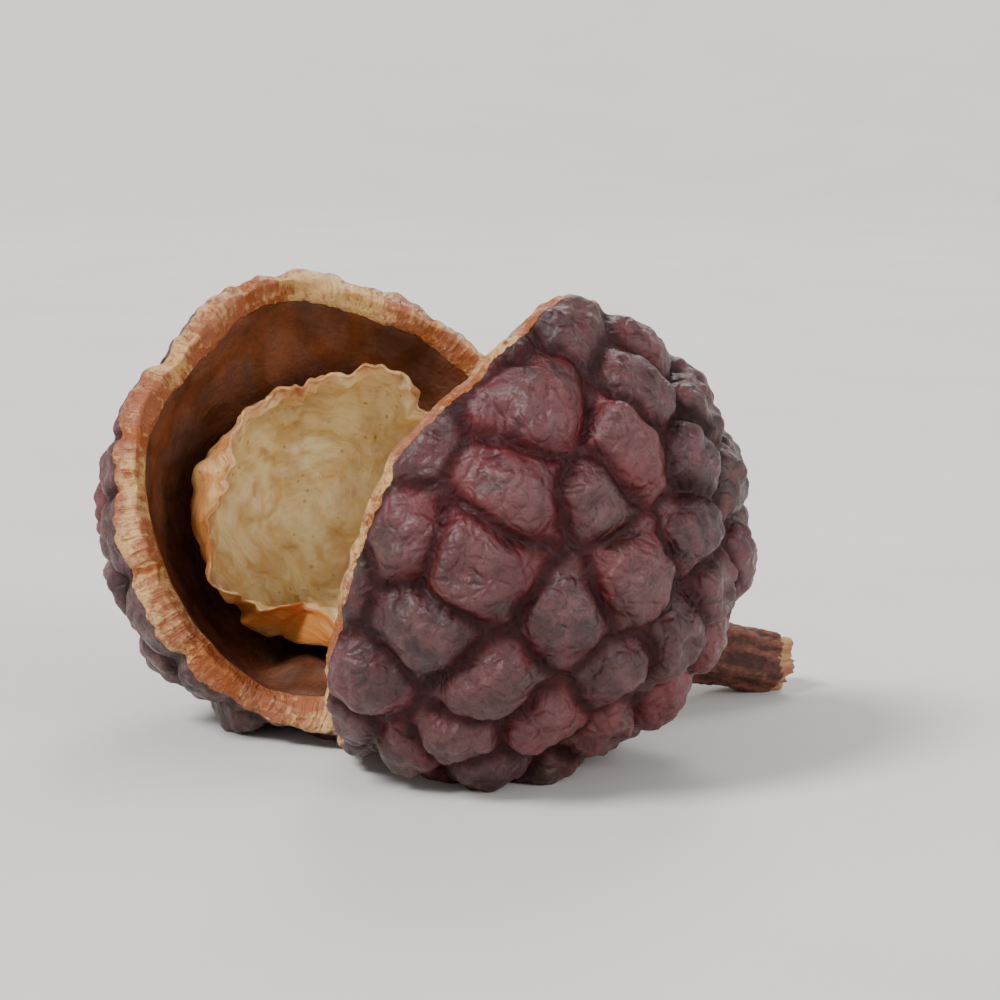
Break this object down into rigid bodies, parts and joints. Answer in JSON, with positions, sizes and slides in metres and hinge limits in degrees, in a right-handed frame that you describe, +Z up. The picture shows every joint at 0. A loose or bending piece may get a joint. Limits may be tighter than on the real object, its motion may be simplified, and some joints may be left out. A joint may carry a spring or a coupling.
{
  "type": "sichuan peppercorn",
  "caption": "Dried sichuan peppercorn husk, split open, with a warty dark red-brown skin, a pale papery lining and a short stalk, resting mouth up.",
  "frame": {"origin": "on the surface that it rests on, under the middle of its outline", "axes": "+Z up; +X from one valve to the other, across the mouth; the stalk points to +Y and the mouth is tipped towards -Y"},
  "size_m": [0.0062, 0.0058, 0.0039],
  "materials": {
    "husk": "dry, slightly oily, warty",
    "lining": "papery, faintly glossy",
    "stalk": "dry bark"
  },
  "bodies": {
    "root": {"husk": "husk", "lining": "lining", "stalk": "stalk"}
  },
  "joints": []
}
